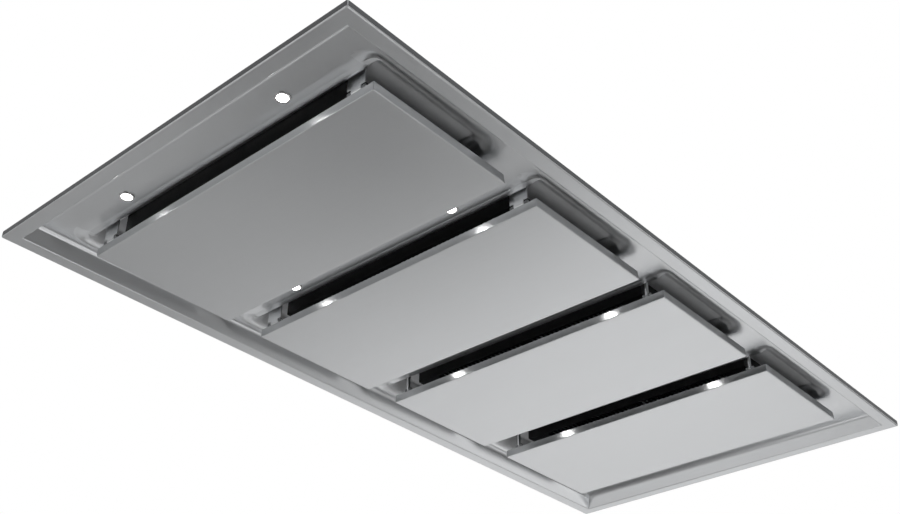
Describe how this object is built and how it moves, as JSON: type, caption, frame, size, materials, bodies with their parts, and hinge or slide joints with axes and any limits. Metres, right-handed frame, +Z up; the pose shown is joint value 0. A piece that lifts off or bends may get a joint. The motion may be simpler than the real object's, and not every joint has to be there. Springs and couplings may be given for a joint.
{
  "type": "ceiling range hood",
  "caption": "Flush ceiling range hood: recessed stainless pan, swing-down suction panels over grease filters, spot lamps, and a fan housing with a side duct spigot.",
  "frame": {"origin": "centre of the ceiling opening, at the underside of the ceiling board, where the flange's return rests", "axes": "+X along the long side, +Y towards the duct spigot, +Z up into the ceiling"},
  "size_m": [1.2, 0.621, 0.2993],
  "materials": {
    "stainless": "fine brushed stainless steel",
    "liner_steel": "plain mill-finish stainless sheet",
    "bright_steel": "bright rolled stainless steel",
    "galvanised": "galvanised sheet with a faint spangle",
    "filter_black": "satin black coating",
    "grey_plastic": "matt moulded plastic",
    "black_plastic": "matt moulded plastic",
    "motor_metal": "die-cast aluminium",
    "flap_metal": "mill-finish aluminium sheet",
    "lamp": "turned lamp body with a frosted lens"
  },
  "bodies": {
    "hood": {"fascia_pan": "stainless", "hinge_leaf_1_near": "bright_steel", "hinge_leaf_1_far": "bright_steel", "hinge_leaf_2_near": "bright_steel", "hinge_leaf_2_far": "bright_steel", "hinge_arm_3_near": "bright_steel", "hinge_arm_3_far": "bright_steel", "hinge_arm_4_near": "bright_steel", "hinge_arm_4_far": "bright_steel", "hinge_pin_1_near": "bright_steel", "hinge_pin_1_far": "bright_steel", "hinge_pin_2_near": "bright_steel", "hinge_pin_2_far": "bright_steel", "hinge_pin_3_near": "bright_steel", "hinge_pin_3_far": "bright_steel", "hinge_pin_4_near": "bright_steel", "hinge_pin_4_far": "bright_steel", "catch_post_1": "bright_steel", "catch_post_2": "bright_steel", "catch_post_3": "bright_steel", "catch_post_4": "bright_steel", "grease_filter_1": "filter_black", "grease_filter_2": "filter_black", "grease_filter_3": "filter_black", "grease_filter_4": "filter_black", "led_spot_1_near": "lamp", "led_spot_1_far": "lamp", "led_spot_2_near": "lamp", "led_spot_2_far": "lamp", "led_spot_3_near": "lamp", "led_spot_3_far": "lamp", "led_spot_4_near": "lamp", "led_spot_4_far": "lamp", "housing_shell": "galvanised", "housing_lid": "galvanised", "blower_scroll": "galvanised", "blower_inlet_plate": "galvanised", "motor": "motor_metal", "duct_collar": "black_plastic", "control_box": "grey_plastic", "cable_gland": "black_plastic", "hanger_bracket_1": "galvanised", "hanger_bracket_2": "galvanised", "hanger_bracket_3": "galvanised", "hanger_bracket_4": "galvanised"},
    "panel_1_door": {"panel_1": "stainless", "panel_liner_1": "liner_steel"},
    "panel_2_door": {"panel_2": "stainless", "panel_liner_2": "liner_steel"},
    "panel_3_door": {"panel_3": "stainless", "panel_liner_3": "liner_steel"},
    "panel_4_door": {"panel_4": "stainless", "panel_liner_4": "liner_steel"},
    "latch_1": {"filter_latch_1": "bright_steel"},
    "latch_2": {"filter_latch_2": "bright_steel"},
    "latch_3": {"filter_latch_3": "bright_steel"},
    "latch_4": {"filter_latch_4": "bright_steel"},
    "wheel": {"impeller": "grey_plastic"},
    "flap_left": {"damper_flap_left": "flap_metal"},
    "flap_right": {"damper_flap_right": "flap_metal"}
  },
  "joints": [
    {"name": "panel_1_hinge", "type": "hinge", "parent": "hood", "child": "panel_1_door", "pos_m": [-0.5025, 0, 0.0006], "axis": [0, 1, 0], "range_deg": [0, 90]},
    {"name": "panel_2_hinge", "type": "hinge", "parent": "hood", "child": "panel_2_door", "pos_m": [-0.2365, 0, 0.0006], "axis": [0, 1, 0], "range_deg": [0, 90]},
    {"name": "panel_3_hinge", "type": "hinge", "parent": "hood", "child": "panel_3_door", "pos_m": [0.0295, 0, 0.0006], "axis": [0, 1, 0], "range_deg": [0, 90]},
    {"name": "panel_4_hinge", "type": "hinge", "parent": "hood", "child": "panel_4_door", "pos_m": [0.2955, 0, 0.0006], "axis": [0, 1, 0], "range_deg": [0, 90]},
    {"name": "latch_1_slide", "type": "slide", "parent": "hood", "child": "latch_1", "axis": [1, 0, 0], "range_m": [0, 0.006], "stiffness_N_per_m": 250},
    {"name": "latch_2_slide", "type": "slide", "parent": "hood", "child": "latch_2", "axis": [1, 0, 0], "range_m": [0, 0.006], "stiffness_N_per_m": 250},
    {"name": "latch_3_slide", "type": "slide", "parent": "hood", "child": "latch_3", "axis": [1, 0, 0], "range_m": [0, 0.006], "stiffness_N_per_m": 250},
    {"name": "latch_4_slide", "type": "slide", "parent": "hood", "child": "latch_4", "axis": [1, 0, 0], "range_m": [0, 0.006], "stiffness_N_per_m": 250},
    {"name": "wheel_spin", "type": "hinge", "parent": "hood", "child": "wheel", "pos_m": [0, 0, 0.184], "axis": [0, 0, 1], "continuous": true},
    {"name": "flap_left_hinge", "type": "hinge", "parent": "hood", "child": "flap_left", "pos_m": [0.122, 0.24, 0.1943], "axis": [0, 0, -1], "range_deg": [0, 75], "stiffness_Nm_per_rad": 0.02},
    {"name": "flap_right_hinge", "type": "hinge", "parent": "hood", "child": "flap_right", "pos_m": [0.122, 0.24, 0.1943], "axis": [0, 0, 1], "range_deg": [0, 75], "stiffness_Nm_per_rad": 0.02}
  ]
}
